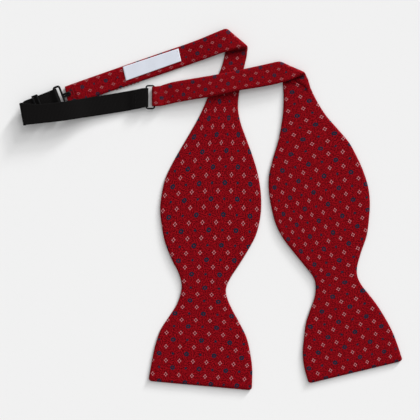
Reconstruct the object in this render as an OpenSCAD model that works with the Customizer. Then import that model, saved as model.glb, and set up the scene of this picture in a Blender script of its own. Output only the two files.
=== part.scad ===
// Self-tie bow tie, untied and laid flat: two sewn silk halves whose neckbands are
// joined by a wire ring, an adjustable webbing with its slider, and a wire hook.
// Millimetres, +Z up, lying on z = 0.

/* [Silk halves] */
// Thickness of a sewn half
half_t = 1.9; // [1.6:0.1:2.0]
// Thickness of one silk where it covers the interlining
silk_t = 0.45; // [0.3:0.05:0.5]
// Thickness of the interlining
lining_t = 0.8; // [0.5:0.1:0.8]
// How far the rolled edge reaches in from the seam
edge_roll = 1.2; // [0.8:0.1:1.5]

/* [Webbing] */
// Width of the webbing
web_w = 13.3; // [12.5:0.1:13.5]
// Thickness of the webbing
web_t = 0.7; // [0.5:0.05:0.75]
// Height of the front strand where it turns back
front_z = 5.9; // [5.8:0.1:7]

/* [Hardware] */
// Wire diameter of the ring
ring_wire = 1.1; // [0.9:0.1:1.2]
// Outer length of the ring, across the band
ring_len = 17.1; // [16.9:0.1:18]
// Wire diameter of the hook
hook_wire = 1.5; // [1:0.1:1.5]
// Outer length of the hook's frame, across the webbing
hook_len = 16.6; // [16.4:0.1:17]
// How far the hook's tongue reaches past its frame
tongue_len = 6.2; // [5:0.1:6.6]
// Length of the slider along the webbing
slider_len = 4.3; // [4:0.1:5]

/* [Label] */
// Length of the woven label
label_len = 41; // [30:1:42]
// Width of the woven label
label_w = 9.4; // [8:0.1:9.6]

/* [Hidden] */
half_h = half_t / 2;
// Mid height of a half that lies on the table, and of one folded over on top of it
low_z = half_h;
fold_r = half_h + 0.2;
high_z = low_z + 2 * fold_r;
// Blades: each row is [distance down from the neck, offset of the centre, half width]
LEFT_ORIGIN = [12.1, 95];
LEFT_LEAN = -5.2;
LEFT_ROWS = [
    [218.6, 0.1, 36.3], [206, 0.2, 35.3], [195, -0.3, 33.4], [184, -0.8, 30.2],
    [174, -1.2, 24.6], [166, -1.8, 19.8], [158, -2.9, 16.5], [151, -3.6, 15.7],
    [143, -3.8, 18.5], [134, -4.2, 23.7], [123, -4.2, 29.2], [112, -3.6, 33.1],
    [100, -3.8, 35.2], [89, -3.8, 35], [78, -3.9, 33.3], [67, -3.5, 29.7],
    [56, -3.3, 25], [45, -3.3, 19.8], [34, -3.3, 14.8], [24, -2.8, 11.7], [14, -1.4, 10.1]
];
RIGHT_ORIGIN = [57.6, 89.4];
RIGHT_LEAN = 13.5;
RIGHT_ROWS = [
    [207.2, -5.4, 33.9], [197, -6, 33.6], [187, -6, 32.2], [177, -5.6, 29.2],
    [168, -5.4, 26], [160, -4.7, 21.9], [152, -4, 17.4], [145, -3.6, 15.2],
    [138, -2.9, 15.7], [129, -2.4, 20], [118, -1.6, 26.1], [107, -1.9, 30.7],
    [96, -1.7, 33.8], [85, -1.2, 34.7], [73, -1.2, 33.9], [62, -1, 31.6],
    [51, 0.1, 27.4], [40, 0.5, 21.4], [29, 0.3, 16], [18, 0.5, 12.1], [8, 0.7, 9.7]
];
// Bands: each row is [outer edge x, y, inner edge x, y, mid height, thickness factor]
LEFT_NECK = [
    [6.6, 96.8, 21.8, 92.9, low_z, 1], [9.6, 108.4, 24.7, 105.2, low_z, 1],
    [10.8, 116.5, 25.2, 109.2, low_z, 1]
];
LEFT_FOLD = [[10.8, 125.7], [26, 112.8]];
LEFT_BAND = [
    [2, 122.1, 12, 109.6, high_z, 1], [-9.7, 117.4, -3, 104.4, 2.2, 1],
    [-21.8, 113.2, -16.6, 99.8, low_z, 1], [-30.3, 110.3, -25, 96.9, low_z, 1],
    [-49.8, 103.5, -44.6, 90.2, low_z, 1], [-77.8, 93.7, -72.6, 80.8, low_z, 1],
    [-100.4, 85.7, -97.4, 71.5, low_z, 1], [-101.8, 85, -98.7, 70.9, 0.8, 0.75],
    [-102.3, 84.4, -99.2, 71.2, 0.5, 0.25]
];
RIGHT_NECK = [[49.8, 90, 68, 89.6, low_z, 1], [49, 97, 67, 91.6, low_z, 1]];
RIGHT_FOLD = [[48, 102.6], [66, 94.7]];
RIGHT_BAND = [
    [38, 100.3, 56, 89.5, high_z, 1], [27.5, 98, 40, 85.3, high_z, 1],
    [5.6, 93.5, 19.6, 81.9, high_z, 1], [-8, 91.1, -2, 77.4, high_z, 1],
    [-25, 88.3, -22.5, 73.9, 2.6, 0.9], [-32, 86.5, -31.5, 71.9, 2.2, 0.5],
    [-35.5, 85.2, -35.5, 71, 2.75, 0.5]
];
// Ring: its two bars run along Y
ring_y = 77.4;
ring_z = 1.85;
band_bar_x = -39.8;
web_bar_x = -45.5;
ring_gap = 0.25;
ring_corner = 1.4;
band_k = 0.5;
// Middles of the two loops along the ring's bars, and half the band loop's width
band_y = 77.9;
web_y = 77.1;
band_half_w = 6.8;
band_loop_r = ring_wire / 2 + ring_gap + 0.05 + half_h * band_k;
web_loop_r = ring_wire / 2 + ring_gap + web_t / 2;
// Front strand of the webbing, from the ring to the turn
FRONT_STRAND = [
    [-51, 83, -51, 69.2, 2.75, 1], [-55, 82.3, -54.6, 68.6, 2.3, 1],
    [-62, 81.1, -61, 67.5, 1.3, 1], [-84.5, 77.3, -83, 63.9, 2.3, 1], [-97, 75.1, -95.5, 61.8, 4.95, 1],
    [-105.5, 73.6, -104, 60.4, front_z - 0.1, 1], [-120, 72.1, -118.5, 58.8, front_z, 1]
];
WEB_FOLD = [[-134, 72.8], [-131.1, 57.3]];
// Rear strand: u runs along it from the hook's bar, v across it
HOOK_BAR = [-107.7, 76.5];
REAR_ANGLE = 21.5;
rear_z = 3.15;
hook_z = 3.05;
hook_loop_r = hook_wire / 2 + 0.35 + web_t / 2;
slider_u = -14.2;
bar_z = 1.45;
bar_r = 0.45;
bar_loop_r = bar_r + 0.1 + web_t / 2;
thread_d = 0.4;
skin_gap = 0.03;

silk_red = "#7d0f18";
thread_red = "#6a0c14";
lining_white = "#e6e0d2";
label_white = "#dfe3ee";
tape_black = "#17171a";
wire_black = "#0c0c0e";

// ---- curves and rows ----
function unit(v) = v / norm(v);
function near(rows, i) = rows[max(0, min(len(rows) - 1, i))];
// Point between p1 and p2 of a smooth curve through four rows
function bend(p0, p1, p2, p3, t) =
    0.5 * (2 * p1 + (p2 - p0) * t + (2 * p0 - 5 * p1 + 4 * p2 - p3) * t * t
    + (3 * p1 - p0 - 3 * p2 + p3) * t * t * t);
// The rows with n - 1 smooth rows added between each two
function smooth(rows, n) = [
    for (i = [0 : len(rows) - 2]) for (j = [0 : n - 1])
        bend(near(rows, i - 1), rows[i], rows[i + 1], near(rows, i + 2), j / n),
    rows[len(rows) - 1]
];
// A blade's row as edge points: origin and lean give the blade's own axis
function blade_row(origin, lean, row, z, k) =
    let (down = [sin(lean), -cos(lean)], side = [cos(lean), sin(lean)],
         mid = origin + row[0] * down + row[1] * side, reach = row[2] * side)
    [mid.x - reach.x, mid.y - reach.y, mid.x + reach.x, mid.y + reach.y, z, k];
// The blade from its sewn end, whose corners are rounded, up to the neck
function blade(origin, lean, rows) =
    let (tip = rows[0])
    concat(
        [for (e = [[2, -2.6, 0.25], [1.4, -0.9, 0.7]])
            blade_row(origin, lean, tip + [e[0], 0, e[1]], low_z * e[2], e[2])],
        [for (row = smooth(rows, 2)) blade_row(origin, lean, row, low_z, 1)]);
// Rows that turn a strip over the line between two points. side is 1 when the fold's
// outer edge lies to the left of that line, -1 when to its right. With the rows before and
// after the fold given, both edges stay on the strip's own edges.
function ends(row) = [[row[0], row[1]], [row[2], row[3]]];
function slide(p, q, out) = (p - q) / ((p - q) * out);
function turn(line, side, z0, z1, k, h, before = undef, after = undef) =
    let (r = abs(z1 - z0) / 2, along = unit(line[1] - line[0]),
         out = side * [-along.y, along.x], zc = (z0 + z1) / 2, up = sign(z1 - z0),
         ways = [for (row = [before, after]) [for (e = [0, 1])
             is_undef(row) ? out : slide(line[e], ends(row)[e], out)]])
    [for (a = [0 : 22.5 : 180])
        let (reach = r * sin(a) - r - h * k, share = (1 - cos(a)) / 2,
             p = line[0] + reach * (ways[0][0] * (1 - share) + ways[1][0] * share),
             q = line[1] + reach * (ways[0][1] * (1 - share) + ways[1][1] * share))
        [p.x, p.y, q.x, q.y, zc - up * r * cos(a), k]];
// Rows round the ring's bar at x, their middle at y: from above it to below it, on its -X
// side (way = -1) or its +X side (way = 1)
function round_bar(x, y, half_w, r, way, k, from, to) =
    [for (a = [from : 22.5 * sign(to - from) : to])
        [x + way * r * sin(a), y + half_w, x + way * r * sin(a), y - half_w,
         ring_z + r * cos(a), k]];
// A row of the rear strand at u and height z
function rear_row(u, z) =
    let (c = [cos(REAR_ANGLE), sin(REAR_ANGLE)], s = [-c.y, c.x],
         p = HOOK_BAR + u * c + web_w / 2 * s, q = HOOK_BAR + u * c - web_w / 2 * s)
    [p.x, p.y, q.x, q.y, z, 1];

// ---- strips ----
// section holds [side, inset, height]: side 0 starts at the first edge, 1 at the second
function mid(row) = [(row[0] + row[2]) / 2, (row[1] + row[3]) / 2, row[4]];
function ring_points(rows, i, section) =
    let (row = rows[i], a = unit([row[2] - row[0], row[3] - row[1], 0]),
         n = unit(cross(a, mid(near(rows, i + 1)) - mid(near(rows, i - 1)))))
    [for (s = section)
        (s[0] == 0 ? [row[0], row[1], row[4]] + a * s[1] : [row[2], row[3], row[4]] - a * s[1])
        + n * s[2] * row[5]];
// caps holds the section cut into convex faces, for the two ends
module strip(rows, section, caps) {
    m = len(section);
    last = len(rows) - 1;
    points = [for (i = [0 : last]) each ring_points(rows, i, section)];
    sides = [for (i = [0 : last - 1]) for (j = [0 : m - 1]) let (k = (j + 1) % m)
        each [[i * m + j, i * m + k, i * m + m + k], [i * m + j, i * m + m + k, i * m + m + j]]];
    first_caps = [for (c = caps) [for (j = [len(c) - 1 : -1 : 0]) c[j]]];
    last_caps = [for (c = caps) [for (j = c) last * m + j]];
    polyhedron(points, concat(sides, first_caps, last_caps));
}
// Half sections of a sewn half: a silk on each side that meets the other at the seam
FACE = [
    [0, 0, skin_gap], [0, edge_roll - 0.3, skin_gap], [0, edge_roll + 0.2, half_h - silk_t],
    [1, edge_roll + 0.2, half_h - silk_t], [1, edge_roll - 0.3, skin_gap], [1, 0, skin_gap],
    [1, 0.25, half_h * 0.62], [1, edge_roll, half_h], [0, edge_roll, half_h],
    [0, 0.25, half_h * 0.62]
];
FACE_CAPS = [[0, 1, 9], [1, 2, 8, 9], [2, 3, 7, 8], [3, 4, 6, 7], [4, 5, 6]];
BACK = [for (i = [len(FACE) - 1 : -1 : 0]) [FACE[i][0], FACE[i][1], -FACE[i][2]]];
BACK_CAPS = [for (c = FACE_CAPS) [for (i = [len(c) - 1 : -1 : 0]) len(FACE) - 1 - c[i]]];
lining_h = lining_t / 2;
LINING = [
    [0, edge_roll + 0.5, 0], [0, edge_roll + 1, -lining_h], [1, edge_roll + 1, -lining_h],
    [1, edge_roll + 0.5, 0], [1, edge_roll + 1, lining_h], [0, edge_roll + 1, lining_h]
];
TAPE = [
    [0, 0, 0], [0, 0.15, -web_t / 2], [1, 0.15, -web_t / 2],
    [1, 0, 0], [1, 0.15, web_t / 2], [0, 0.15, web_t / 2]
];
SIX_CAPS = [[0, 1, 2, 3, 4, 5]];

LEFT_HALF = concat(
    blade(LEFT_ORIGIN, LEFT_LEAN, LEFT_ROWS), LEFT_NECK,
    turn(LEFT_FOLD, 1, low_z, high_z, 1, half_h, LEFT_NECK[2], LEFT_BAND[0]), LEFT_BAND);
RIGHT_HALF = concat(
    blade(RIGHT_ORIGIN, RIGHT_LEAN, RIGHT_ROWS), RIGHT_NECK,
    turn(RIGHT_FOLD, 1, low_z, high_z, 1, half_h, RIGHT_NECK[1], RIGHT_BAND[0]), RIGHT_BAND,
    round_bar(band_bar_x, band_y, band_half_w, band_loop_r, -1, band_k, 0, 180),
    [[-36, 83.7, -36, 71.4, 0.75, band_k], [-33.5, 84, -33.5, 72.2, 1.1, band_k],
     [-31.5, 84.2, -31.5, 72.9, 1.1, band_k]]);
// The interlinings stop short of the sewn ends and of the ring's loop
LEFT_LINING = [for (i = [2 : len(LEFT_HALF) - 3]) LEFT_HALF[i]];
RIGHT_LINING = concat(
    [for (i = [2 : len(RIGHT_HALF) - 1]) if (RIGHT_HALF[i][0] > -24) RIGHT_HALF[i]],
    [[-24, 88, -21.2, 74.7, 2.63, 0.9]]);
WEB_PATH = concat(
    [[-55, 82, -55, 69.5, 1.3, 1], [-51, 82.7, -51, 70.2, 1.75, 1],
     [-48, 83.5, -48, 70.6, 0.95, 1]],
    round_bar(web_bar_x, web_y, web_w / 2, web_loop_r, 1, 1, 180, 0),
    [[-48.2, 83.6, -48.2, 69.8, 2.95, 1]], FRONT_STRAND,
    turn(WEB_FOLD, -1, front_z, rear_z, 1, web_t / 2),
    [for (u = [-22, -18, -14, -10, -6, -3.6]) rear_row(u, rear_z)],
    [rear_row(-1.3, rear_z + 0.7)],
    [for (a = [0 : 22.5 : 180]) rear_row(hook_loop_r * sin(a), hook_z + hook_loop_r * cos(a))],
    [rear_row(-2, hook_z - hook_loop_r)]);
WEB_RETURN = concat(
    [rear_row(-2.3, hook_z - hook_loop_r), rear_row(-6, 1.35), rear_row(-9.5, 1.05),
     rear_row(-12, 0.6)],
    [for (a = [0 : 22.5 : 180])
        rear_row(slider_u - bar_loop_r * sin(a), bar_z - bar_loop_r * cos(a))],
    [rear_row(-12.6, 2.25), rear_row(-10.4, 1.85), rear_row(-8.8, 1.85)]);

module left_face_silk() { color(silk_red) strip(LEFT_HALF, FACE, FACE_CAPS); }
module left_back_silk() { color(silk_red) strip(LEFT_HALF, BACK, BACK_CAPS); }
module left_interlining() { color(lining_white) strip(LEFT_LINING, LINING, SIX_CAPS); }
module right_face_silk() { color(silk_red) strip(RIGHT_HALF, FACE, FACE_CAPS); }
module right_back_silk() { color(silk_red) strip(RIGHT_HALF, BACK, BACK_CAPS); }
module right_interlining() { color(lining_white) strip(RIGHT_LINING, LINING, SIX_CAPS); }
module webbing() { color(tape_black) strip(WEB_PATH, TAPE, SIX_CAPS); }
module webbing_return() { color(tape_black) strip(WEB_RETURN, TAPE, SIX_CAPS); }

// ---- stitches: short threads lying in a row ----
module thread(length, d = thread_d) {
    translate([-length / 2, 0, d / 2]) rotate([0, 90, 0]) cylinder(h = length, d = d, $fn = 24);
}
module stitch_row(count, pitch, length) {
    for (i = [0 : count - 1]) translate([(i - (count - 1) / 2) * pitch, 0, 0]) thread(length);
}
// Hand stitches just outside the seam, between the inner edge points of two rows
function inner_edge(row) = [row[2], row[3]];
module seam_stitches(from_row, to_row) {
    p = inner_edge(from_row);
    q = inner_edge(to_row);
    along = unit(q - p);
    at = (p + q) / 2 + [along.y, -along.x] * (thread_d / 2 + skin_gap);
    translate([at.x, at.y, from_row[4] - thread_d / 2]) rotate(atan2(along.y, along.x))
        stitch_row(7, 2.6, 1.6);
}
// They close the turning gaps at the neckbands' lower edges
module left_closing_stitches() { color(thread_red) seam_stitches(LEFT_BAND[5], LEFT_BAND[4]); }
module right_closing_stitches() { color(thread_red) seam_stitches(RIGHT_BAND[3], RIGHT_BAND[2]); }
module ring_loop_stitches() {
    color(thread_red) translate([-32.2, 78.95, 2.2 + half_h * band_k + 0.12]) rotate(90)
        stitch_row(5, 2.4, 1.7);
}
module webbing_ring_stitches() {
    color(tape_black) translate([-53, 75.9, 2.55 + web_t / 2 + skin_gap]) rotate(90)
        stitch_row(5, 2.4, 1.7);
}

// ---- label on the neckband ----
label_at = [-41, 100.5];
label_angle = 18.9;
module on_label() {
    translate([label_at.x, label_at.y, half_t + skin_gap]) rotate(label_angle) children();
}
module woven_label() {
    color(label_white) on_label() linear_extrude(0.35)
        offset(0.4, $fn = 16) square([label_len - 0.8, label_w - 0.8], center = true);
}
module label_stitches() {
    color(thread_red) on_label() for (side = [-1, 1], i = [-1, 0, 1])
        translate([side * (label_len / 2 - 0.8), i * 2.8, 0.37]) rotate(90) thread(1.5, 0.3);
}

// ---- hardware ----
// Wire loop with rounded corners: a and b are the centre-line sizes, in the XY plane
module wire_loop(a, b, corner, d) {
    for (sx = [-1, 1]) translate([sx * a / 2, 0, 0]) rotate([90, 0, 0])
        cylinder(h = b - 2 * corner, d = d, center = true, $fn = 32);
    for (sy = [-1, 1]) translate([0, sy * b / 2, 0]) rotate([0, 90, 0])
        cylinder(h = a - 2 * corner, d = d, center = true, $fn = 32);
    for (sx = [0, 1], sy = [0, 1]) mirror([sx, 0, 0]) mirror([0, sy, 0])
        translate([a / 2 - corner, b / 2 - corner, 0])
            rotate_extrude(angle = 90, $fn = 48) translate([corner, 0]) circle(d = d, $fn = 32);
}
module ring() {
    color(wire_black) translate([(band_bar_x + web_bar_x) / 2, ring_y, ring_z])
        wire_loop(band_bar_x - web_bar_x, ring_len - ring_wire, ring_corner, ring_wire);
}
module on_rear(u, z) {
    translate([HOOK_BAR.x, HOOK_BAR.y, 0]) rotate(REAR_ANGLE) translate([u, 0, z]) children();
}
frame_u = 4.2;
tongue_half = 0.8;
tip_dip = 10;
module hook() {
    arm = tongue_len - tongue_half - hook_wire / 2;
    color(wire_black) on_rear(frame_u / 2, hook_z) {
        wire_loop(frame_u, hook_len - hook_wire, 1.2, hook_wire);
        translate([frame_u / 2, 0, 0]) {
            for (s = [-1, 1]) translate([0, s * tongue_half, 0]) rotate([0, 90, 0])
                cylinder(h = arm, d = hook_wire, $fn = 32);
            for (s = [-1, 1]) translate([arm, s * tongue_half, 0]) sphere(d = hook_wire, $fn = 32);
            translate([arm, 0, 0]) rotate([0, tip_dip, 0]) rotate(-90)
                rotate_extrude(angle = 180, $fn = 48)
                    translate([tongue_half, 0]) circle(d = hook_wire, $fn = 32);
        }
    }
}
// Worked eye that the tongue's tip drops into, on the end of the left neckband
eye_u = 10.6;
module hook_eye() {
    color(thread_red) on_rear(eye_u, half_t + skin_gap) linear_extrude(0.2) difference() {
        offset(0.5, $fn = 16) square([2.2, 5], center = true);
        square([1.8, 4.4], center = true);
    }
}
module hook_eye_stitches() {
    color(thread_red) on_rear(eye_u + 3.2, half_t + skin_gap) rotate(90) stitch_row(5, 2.2, 1.6);
}
rail_w = 0.9;
top_bar_t = 0.65;
module slider() {
    top = rear_z + web_t / 2 + 0.15;
    low = bar_z - bar_r;
    rail_at = web_w / 2 + 0.2 + rail_w / 2;
    color(wire_black) on_rear(slider_u, 0) {
        for (s = [-1, 1]) translate([0, s * rail_at, (low + top + top_bar_t) / 2])
            cube([slider_len, rail_w, top + top_bar_t - low], center = true);
        for (s = [-1, 1]) translate([s * (slider_len - 1) / 2, 0, top + top_bar_t / 2])
            cube([1, 2 * rail_at, top_bar_t], center = true);
        translate([0, 0, bar_z]) rotate([90, 0, 0])
            cylinder(h = 2 * rail_at, r = bar_r, center = true, $fn = 32);
    }
}
module slider_stitches() {
    color(tape_black) on_rear(-9.6, 1.85 + web_t / 2 + skin_gap) rotate(90) stitch_row(5, 2.2, 1.6);
}

left_face_silk();
left_back_silk();
left_interlining();
left_closing_stitches();
woven_label();
label_stitches();
hook_eye();
hook_eye_stitches();
right_face_silk();
right_back_silk();
right_interlining();
right_closing_stitches();
ring_loop_stitches();
ring();
webbing();
webbing_ring_stitches();
webbing_return();
slider();
slider_stitches();
hook();
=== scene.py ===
"""A self-tie bow tie, untied and laid flat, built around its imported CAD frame.

Sizes in the code are millimetres, as in the CAD model, and become metres when a mesh is
made. Each strip of cloth or webbing follows rows: [first edge x, y, second edge x, y,
mid height, thickness factor]. The rows are the CAD model's own, set closer together.
"""
import math

import bpy
import numpy as np
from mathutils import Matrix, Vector


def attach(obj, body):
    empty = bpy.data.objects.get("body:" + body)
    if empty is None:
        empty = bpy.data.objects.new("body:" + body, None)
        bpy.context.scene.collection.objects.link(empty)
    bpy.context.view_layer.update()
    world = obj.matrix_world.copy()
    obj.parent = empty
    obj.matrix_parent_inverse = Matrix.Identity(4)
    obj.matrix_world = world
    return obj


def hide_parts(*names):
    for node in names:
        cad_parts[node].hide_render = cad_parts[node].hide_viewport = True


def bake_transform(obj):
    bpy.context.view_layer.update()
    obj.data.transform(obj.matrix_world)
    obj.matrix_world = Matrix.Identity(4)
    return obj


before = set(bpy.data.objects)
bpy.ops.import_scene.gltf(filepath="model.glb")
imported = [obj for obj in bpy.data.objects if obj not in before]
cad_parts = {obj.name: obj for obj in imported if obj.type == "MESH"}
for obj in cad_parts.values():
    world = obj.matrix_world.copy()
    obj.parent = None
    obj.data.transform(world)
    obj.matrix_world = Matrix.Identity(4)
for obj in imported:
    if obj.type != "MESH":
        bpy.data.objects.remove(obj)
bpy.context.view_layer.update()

MM = 0.001

# ---- sizes, in millimetres ----
# A half is two silks over an interlining, with its long edges rolled round
HALF_T = 1.9
HALF_H = HALF_T / 2
SILK_T = 0.45
LINING_T = 0.8
EDGE_ROLL = 2.0
SKIN_GAP = 0.03
# The webbing, and the height at which its front strand crosses to the fold
WEB_W = 13.3
WEB_T = 0.7
FRONT_Z = 5.9
# Wire fittings, the label and the thread
RING_WIRE = 1.1
RING_LEN = 17.1
HOOK_WIRE = 1.5
HOOK_LEN = 16.6
TONGUE_LEN = 6.2
SLIDER_LEN = 4.3
LABEL_LEN = 41
LABEL_W = 9.4
LABEL_T = 0.34
LABEL_TAPER = 0.9
LABEL_LEAN = 0.5
THREAD_D = 0.4
# Mid heights of a half that lies on the floor and of a neckband folded back over it
LOW_Z = HALF_H
FOLD_R = HALF_H + 0.2
HIGH_Z = LOW_Z + 2 * FOLD_R

# A blade hangs from its origin, turned by its lean: (distance down, offset, half width)
LEFT_ORIGIN = (12.1, 95)
LEFT_LEAN = -5.2
LEFT_ROWS = [
    (218.6, 0.1, 36.3), (206, 0.2, 35.3), (195, -0.3, 33.4), (184, -0.8, 30.2),
    (174, -1.2, 24.6), (166, -1.8, 19.8), (158, -2.9, 16.5), (151, -3.6, 15.7),
    (143, -3.8, 18.5), (134, -4.2, 23.7), (123, -4.2, 29.2), (112, -3.6, 33.1),
    (100, -3.8, 35.2), (89, -3.8, 35), (78, -3.9, 33.3), (67, -3.5, 29.7),
    (56, -3.3, 25), (45, -3.3, 19.8), (34, -3.3, 14.8), (24, -2.8, 11.7), (14, -1.4, 10.1),
]
RIGHT_ORIGIN = (57.6, 89.4)
RIGHT_LEAN = 13.5
RIGHT_ROWS = [
    (207.2, -5.4, 33.9), (197, -6, 33.6), (187, -6, 32.2), (177, -5.6, 29.2),
    (168, -5.4, 26), (160, -4.7, 21.9), (152, -4, 17.4), (145, -3.6, 15.2),
    (138, -2.9, 15.7), (129, -2.4, 20), (118, -1.6, 26.1), (107, -1.9, 30.7),
    (96, -1.7, 33.8), (85, -1.2, 34.7), (73, -1.2, 33.9), (62, -1, 31.6),
    (51, 0.1, 27.4), (40, 0.5, 21.4), (29, 0.3, 16), (18, 0.5, 12.1), (8, 0.7, 9.7),
]
# Each half's neck, fold line and band, then the ring that joins the right band to the webbing
LEFT_NECK = [
    (6.6, 96.8, 21.8, 92.9, LOW_Z, 1), (9.6, 108.4, 24.7, 105.2, LOW_Z, 1),
    (10.8, 116.5, 25.2, 109.2, LOW_Z, 1),
]
LEFT_FOLD = ((10.8, 125.7), (26, 112.8))
LEFT_BAND = [
    (2, 122.1, 12, 109.6, HIGH_Z, 1), (-9.7, 117.4, -3, 104.4, 2.2, 1),
    (-21.8, 113.2, -16.6, 99.8, LOW_Z, 1), (-30.3, 110.3, -25, 96.9, LOW_Z, 1),
    (-49.8, 103.5, -44.6, 90.2, LOW_Z, 1), (-77.8, 93.7, -72.6, 80.8, LOW_Z, 1),
    (-100.4, 85.7, -97.4, 71.5, LOW_Z, 1), (-101.8, 85, -98.7, 70.9, 0.8, 0.75),
    (-102.3, 84.4, -99.2, 71.2, 0.5, 0.25),
]
RIGHT_NECK = [(49.8, 90, 68, 89.6, LOW_Z, 1), (49, 97, 67, 91.6, LOW_Z, 1)]
RIGHT_FOLD = ((48, 102.6), (66, 94.7))
RIGHT_BAND = [
    (38, 100.3, 56, 89.5, HIGH_Z, 1), (27.5, 98, 40, 85.3, HIGH_Z, 1),
    (5.6, 93.5, 19.6, 81.9, HIGH_Z, 1), (-8, 91.1, -2, 77.4, HIGH_Z, 1),
    (-25, 88.3, -22.5, 73.9, 2.6, 0.9), (-32, 86.5, -31.5, 71.9, 2.2, 0.5),
    (-35.5, 85.2, -35.5, 71, 2.75, 0.5),
]
RING_Y = 77.4
RING_Z = 1.85
BAND_BAR_X = -39.8
WEB_BAR_X = -45.5
RING_GAP = 0.25
RING_CORNER = 1.4
BAND_Y = 77.9
WEB_Y = 77.1
BAND_HALF_W = 6.8
BAND_K = 0.5
BAND_LOOP_R = RING_WIRE / 2 + RING_GAP + 0.05 + HALF_H * BAND_K
WEB_LOOP_R = RING_WIRE / 2 + RING_GAP + WEB_T / 2
FRONT_STRAND = [
    (-51, 83, -51, 69.2, 2.75, 1), (-55, 82.3, -54.6, 68.6, 2.3, 1),
    (-62, 81.1, -61, 67.5, 1.3, 1), (-84.5, 77.3, -83, 63.9, 2.3, 1), (-97, 75.1, -95.5, 61.8, 4.95, 1),
    (-105.5, 73.6, -104, 60.4, FRONT_Z - 0.1, 1), (-120, 72.1, -118.5, 58.8, FRONT_Z, 1),
]
WEB_FOLD = ((-134, 72.8), (-131.1, 57.3))
# The rear strand runs from the hook's bar, and places on it are distances u from that bar
HOOK_BAR = (-107.7, 76.5)
REAR_ANGLE = 21.5
REAR_Z = 3.15
HOOK_Z = 3.05
HOOK_LOOP_R = HOOK_WIRE / 2 + 0.35 + WEB_T / 2
SLIDER_U = -14.2
BAR_Z = 1.45
BAR_R = 0.45
BAR_LOOP_R = BAR_R + 0.1 + WEB_T / 2
EYE_U = 10.6
EYE_LOOP = (2.5, 5.3)
EYE_CORNER = 0.5
# Rows round a half turn, the rows beside it, and the angles round a half's rolled edge
TURN_ROWS = 17
TURN_OVERLAP = 3
ROLL_DEGREES = (0, 12, 26, 42, 60, 78)


# ---- rows ----
def direction(degrees):
    """Unit vector in the plan at an angle from +X."""
    return np.array([math.cos(math.radians(degrees)), math.sin(math.radians(degrees))])


def smooth(rows, count):
    """Catmull-Rom curve through the rows, with count steps between each two."""
    rows = [np.asarray(row, float) for row in rows]
    last = len(rows) - 1
    made = []
    for i in range(last):
        before, here, there, after = (rows[max(0, min(last, i + k))] for k in (-1, 0, 1, 2))
        for step in range(count):
            t = step / count
            made.append(0.5 * (
                2 * here + (there - before) * t
                + (2 * before - 5 * here + 4 * there - after) * t ** 2
                + (3 * here - before - 3 * there + after) * t ** 3))
    return made + [rows[last]]


def blade_row(origin, lean, row, z, k):
    """Edge points of a blade at row = (distance down, offset, half width)."""
    side = direction(lean)
    down = direction(lean - 90)
    middle = np.array(origin) + row[0] * down + row[1] * side
    first, second = middle - row[2] * side, middle + row[2] * side
    return np.array([first[0], first[1], second[0], second[1], z, k])


def blade(origin, lean, rows):
    """A blade's rows from its sewn end, which is rounded, to its last row."""
    end_reach, corner = 2.0, 2.6
    made = []
    for degrees in (84, 72, 60, 48, 36, 24, 12):
        up, over = math.sin(math.radians(degrees)), math.cos(math.radians(degrees))
        k = max(0.2, over)
        row = (rows[0][0] + end_reach * up, rows[0][1], rows[0][2] - corner * (1 - over))
        made.append(blade_row(origin, lean, row, LOW_Z * k, k))
    made += [blade_row(origin, lean, row, LOW_Z, 1) for row in smooth(rows, 8)]
    return made


def turn(line, side, z0, z1, k, half, row_in=None, row_out=None):
    """Rows over a fold line, as a half circle between the heights z0 and z1.

    With the rows before and after the fold given, both edges stay on the strip's own edges.
    """
    first, second = (np.array(p, float) for p in line)
    along = (second - first) / np.linalg.norm(second - first)
    out = side * np.array([-along[1], along[0]])
    radius, middle, up = abs(z1 - z0) / 2, (z0 + z1) / 2, math.copysign(1, z1 - z0)

    def slide(point, other):
        step = point - np.array(other, float)
        return step / (step @ out)

    made = []
    for a in np.radians(np.linspace(0, 180, TURN_ROWS)):
        reach = radius * math.sin(a) - radius - half * k
        share = (1 - math.cos(a)) / 2
        ends = []
        for i, point in ((0, first), (2, second)):
            way = out
            if row_in is not None:
                way = slide(point, row_in[i:i + 2]) * (1 - share) + slide(point, row_out[i:i + 2]) * share
            ends += [*(point + way * reach)]
        made.append(np.array([*ends, middle - up * radius * math.cos(a), k]))
    return made


def round_bar(x, y, half_w, radius, way, k, start, stop):
    """Rows round the ring's bar at x, on its -X side (way = -1) or its +X side (way = 1)."""
    made = []
    for a in np.radians(np.linspace(start, stop, TURN_ROWS)):
        bar_x = x + way * radius * math.sin(a)
        made.append(np.array([bar_x, y + half_w, bar_x, y - half_w, RING_Z + radius * math.cos(a), k]))
    return made


def rear_point(u, v=0.0):
    """Plan point at u along the rear strand from the hook's bar and v across it."""
    c = direction(REAR_ANGLE)
    return np.array(HOOK_BAR) + u * c + v * np.array([-c[1], c[0]])


def rear_row(u, z):
    first, second = rear_point(u, WEB_W / 2), rear_point(u, -WEB_W / 2)
    return np.array([*first, *second, z, 1])


def rear_loop(u, z, radius, way, start, stop):
    """Rows round a bar that lies across the rear strand."""
    return [rear_row(u + way * radius * math.sin(a), z + radius * math.cos(a))
            for a in np.radians(np.linspace(start, stop, TURN_ROWS))]


def left_half_rows():
    fold = turn(LEFT_FOLD, 1, LOW_Z, HIGH_Z, 1, HALF_H, LEFT_NECK[-1], LEFT_BAND[0])
    flat = blade(LEFT_ORIGIN, LEFT_LEAN, LEFT_ROWS)
    neck = smooth([flat[-1], *LEFT_NECK, fold[0]], 6)
    band = smooth([fold[-1], *LEFT_BAND], 8)
    return flat + neck[1:-1] + fold + band[1:], len(flat) + len(neck) - 2


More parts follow.
